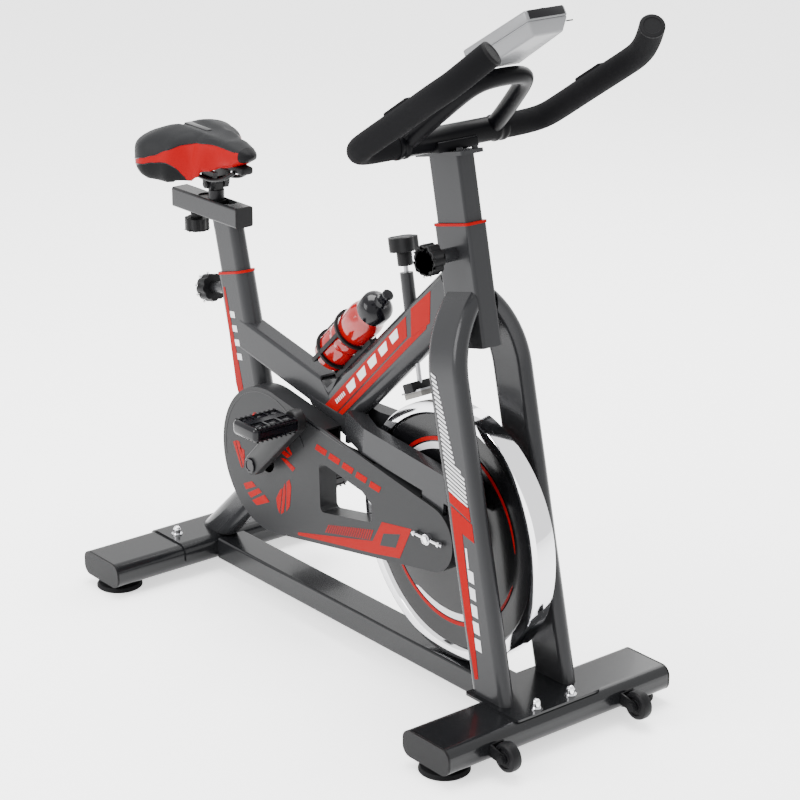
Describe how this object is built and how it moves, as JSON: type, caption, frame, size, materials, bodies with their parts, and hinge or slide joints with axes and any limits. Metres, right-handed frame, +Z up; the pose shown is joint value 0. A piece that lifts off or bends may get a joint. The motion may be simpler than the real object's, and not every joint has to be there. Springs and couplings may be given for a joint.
{
  "type": "indoor spin bike",
  "caption": "Indoor cycle with a belt-driven flywheel, push-down friction brake, sliding saddle and handlebar posts, console, bottle cage and transport wheels",
  "frame": {"origin": "on the floor, at the bottom centre of the bounding box", "axes": "+X forward towards the handlebar and flywheel, +Y to the rider's left, +Z up"},
  "size_m": [1.124, 0.495, 1.1506],
  "materials": {
    "frame_paint": "glossy",
    "guard_plastic": "glossy",
    "chrome": "polished",
    "wheel_rim": "polished",
    "steel": "brushed",
    "arm_metal": "satin",
    "black_plastic": "matte",
    "black_gloss": "glossy",
    "red_plastic": "glossy",
    "silver_plastic": "satin",
    "rubber": "matte",
    "foam": "matte",
    "saddle_cover": "satin",
    "brake_felt": "matte",
    "bottle_red": "glossy"
  },
  "bodies": {
    "frame": {"front_stabiliser": "frame_paint", "rear_stabiliser": "frame_paint", "stabiliser_caps": "black_plastic", "bottom_rail": "frame_paint", "stabiliser_brackets": "frame_paint", "wheel_brackets": "frame_paint", "rear_leg": "frame_paint", "crank_bearings": "steel", "seat_tube": "frame_paint", "main_beam": "frame_paint", "down_tube": "frame_paint", "head_tube": "frame_paint", "fork_legs": "frame_paint", "axle_stays": "frame_paint", "guard_outer": "guard_plastic", "guard_inner": "guard_plastic", "drive_belt": "rubber", "flywheel_axle": "steel", "frame_fasteners": "chrome", "post_collars": "red_plastic", "bottle_cage": "black_plastic"},
    "crank": {"crank_pulley": "black_plastic", "crank_spindles": "steel", "crank_arms": "arm_metal"},
    "pedal_right": {"pedal_right": "black_plastic"},
    "pedal_left": {"pedal_left": "black_plastic"},
    "flywheel": {"flywheel": "wheel_rim", "flywheel_pulley": "steel", "flywheel_bearings": "steel"},
    "seat_post": {"seat_post": "frame_paint", "seat_rail": "frame_paint", "seat_rail_caps": "black_plastic"},
    "saddle_slider": {"saddle_slider": "steel"},
    "saddle": {"saddle_clamp": "steel", "saddle_rails": "steel", "saddle_shell": "black_plastic", "saddle_pad": "saddle_cover"},
    "slider_knob": {"slider_knob": "black_plastic"},
    "seat_pin": {"seat_pin": "steel"},
    "seat_knob": {"seat_knob": "black_plastic"},
    "head_pin": {"head_pin": "steel"},
    "head_knob": {"head_knob": "black_plastic"},
    "handlebar": {"handlebar_post": "frame_paint", "bar_mount_plate": "frame_paint", "handlebar_core": "black_gloss", "foam_grips": "foam", "console_shell": "silver_plastic", "console_panel": "black_gloss"},
    "console_button": {"console_button": "black_gloss"},
    "brake": {"brake_rod": "steel", "brake_pad": "brake_felt"},
    "brake_knob": {"brake_knob": "black_plastic"},
    "transport_wheel_right": {"transport_wheel_right": "black_plastic"},
    "transport_wheel_left": {"transport_wheel_left": "black_plastic"},
    "foot_front_right": {"foot_front_right": "rubber"},
    "foot_front_left": {"foot_front_left": "rubber"},
    "foot_rear_right": {"foot_rear_right": "rubber"},
    "foot_rear_left": {"foot_rear_left": "rubber"},
    "bottle": {"bottle": "bottle_red", "bottle_cap": "black_plastic"}
  },
  "joints": [
    {"name": "flywheel_spin", "type": "hinge", "parent": "frame", "child": "flywheel", "pos_m": [0.2515, 0, 0.28], "axis": [0, 1, 0], "continuous": true},
    {"name": "crank_spin", "type": "hinge", "parent": "frame", "child": "crank", "pos_m": [-0.189, 0, 0.28], "axis": [0, 1, 0], "continuous": true},
    {"name": "pedal_right_spin", "type": "hinge", "parent": "crank", "child": "pedal_right", "pos_m": [-0.07405, -0.141, 0.39697], "axis": [0, 1, 0], "continuous": true},
    {"name": "pedal_left_spin", "type": "hinge", "parent": "crank", "child": "pedal_left", "pos_m": [-0.30395, 0.141, 0.16303], "axis": [0, 1, 0], "continuous": true},
    {"name": "seat_height", "type": "slide", "parent": "frame", "child": "seat_post", "axis": [-0.2504, 0, 0.9681], "range_m": [-0.05, 0.15]},
    {"name": "saddle_slide", "type": "slide", "parent": "seat_post", "child": "saddle_slider", "axis": [1, 0, 0], "range_m": [-0.03, 0.036]},
    {"name": "saddle_tilt", "type": "hinge", "parent": "saddle_slider", "child": "saddle", "pos_m": [-0.4038, 0, 0.722], "axis": [0, 1, 0], "range_deg": [-8, 8]},
    {"name": "slider_knob_turn", "type": "hinge", "parent": "saddle_slider", "child": "slider_knob", "pos_m": [-0.4665, 0, 0.64], "axis": [0, 0, 1], "range_deg": [-180, 180]},
    {"name": "seat_pin_pull", "type": "slide", "parent": "frame", "child": "seat_pin", "axis": [-0.9681, 0, -0.2504], "range_m": [0, 0.012], "stiffness_N_per_m": 600, "springref_m": -0.01},
    {"name": "seat_knob_turn", "type": "hinge", "parent": "seat_pin", "child": "seat_knob", "pos_m": [-0.34144, 0, 0.5474], "axis": [-0.9681, 0, -0.2504], "range_deg": [-180, 180]},
    {"name": "head_pin_pull", "type": "slide", "parent": "frame", "child": "head_pin", "axis": [0, -1, 0], "range_m": [0, 0.012], "stiffness_N_per_m": 600, "springref_m": -0.01},
    {"name": "head_knob_turn", "type": "hinge", "parent": "head_pin", "child": "head_knob", "pos_m": [0.26256, -0.06, 0.74739], "axis": [0, -1, 0], "range_deg": [-180, 180]},
    {"name": "handlebar_height", "type": "slide", "parent": "frame", "child": "handlebar", "axis": [-0.213, 0, 0.977], "range_m": [-0.045, 0.06]},
    {"name": "console_button_press", "type": "slide", "parent": "handlebar", "child": "console_button", "axis": [0.5358, 0, -0.8443], "range_m": [0, 0.0015], "stiffness_N_per_m": 500, "springref_m": -0.002},
    {"name": "brake_press", "type": "slide", "parent": "frame", "child": "brake", "axis": [0.1908, 0, -0.9816], "range_m": [0, 0.005], "stiffness_N_per_m": 1500, "springref_m": -0.008},
    {"name": "brake_knob_turn", "type": "hinge", "parent": "brake", "child": "brake_knob", "pos_m": [0.1128, 0, 0.731], "axis": [0.1908, 0, -0.9816], "range_deg": [-360, 360]},
    {"name": "transport_wheel_right_spin", "type": "hinge", "parent": "frame", "child": "transport_wheel_right", "pos_m": [0.538, -0.138, 0.036], "axis": [0, 1, 0], "continuous": true},
    {"name": "transport_wheel_left_spin", "type": "hinge", "parent": "frame", "child": "transport_wheel_left", "pos_m": [0.538, 0.138, 0.036], "axis": [0, 1, 0], "continuous": true},
    {"name": "foot_front_right_turn", "type": "hinge", "parent": "frame", "child": "foot_front_right", "pos_m": [0.456, -0.1955, 0.01], "axis": [0, 0, 1], "range_deg": [-180, 180]},
    {"name": "foot_front_left_turn", "type": "hinge", "parent": "frame", "child": "foot_front_left", "pos_m": [0.456, 0.1955, 0.01], "axis": [0, 0, 1], "range_deg": [-180, 180]},
    {"name": "foot_rear_right_turn", "type": "hinge", "parent": "frame", "child": "foot_rear_right", "pos_m": [-0.443, -0.2065, 0.01], "axis": [0, 0, 1], "range_deg": [-180, 180]},
    {"name": "foot_rear_left_turn", "type": "hinge", "parent": "frame", "child": "foot_rear_left", "pos_m": [-0.443, 0.2065, 0.01], "axis": [0, 0, 1], "range_deg": [-180, 180]},
    {"name": "bottle_lift", "type": "slide", "parent": "frame", "child": "bottle", "axis": [0.7325, 0, 0.6807], "range_m": [0, 0.03]}
  ],
  "couplings": [
    {"joint": "crank_spin", "follows": "flywheel_spin", "ratio": 0.31579}
  ]
}
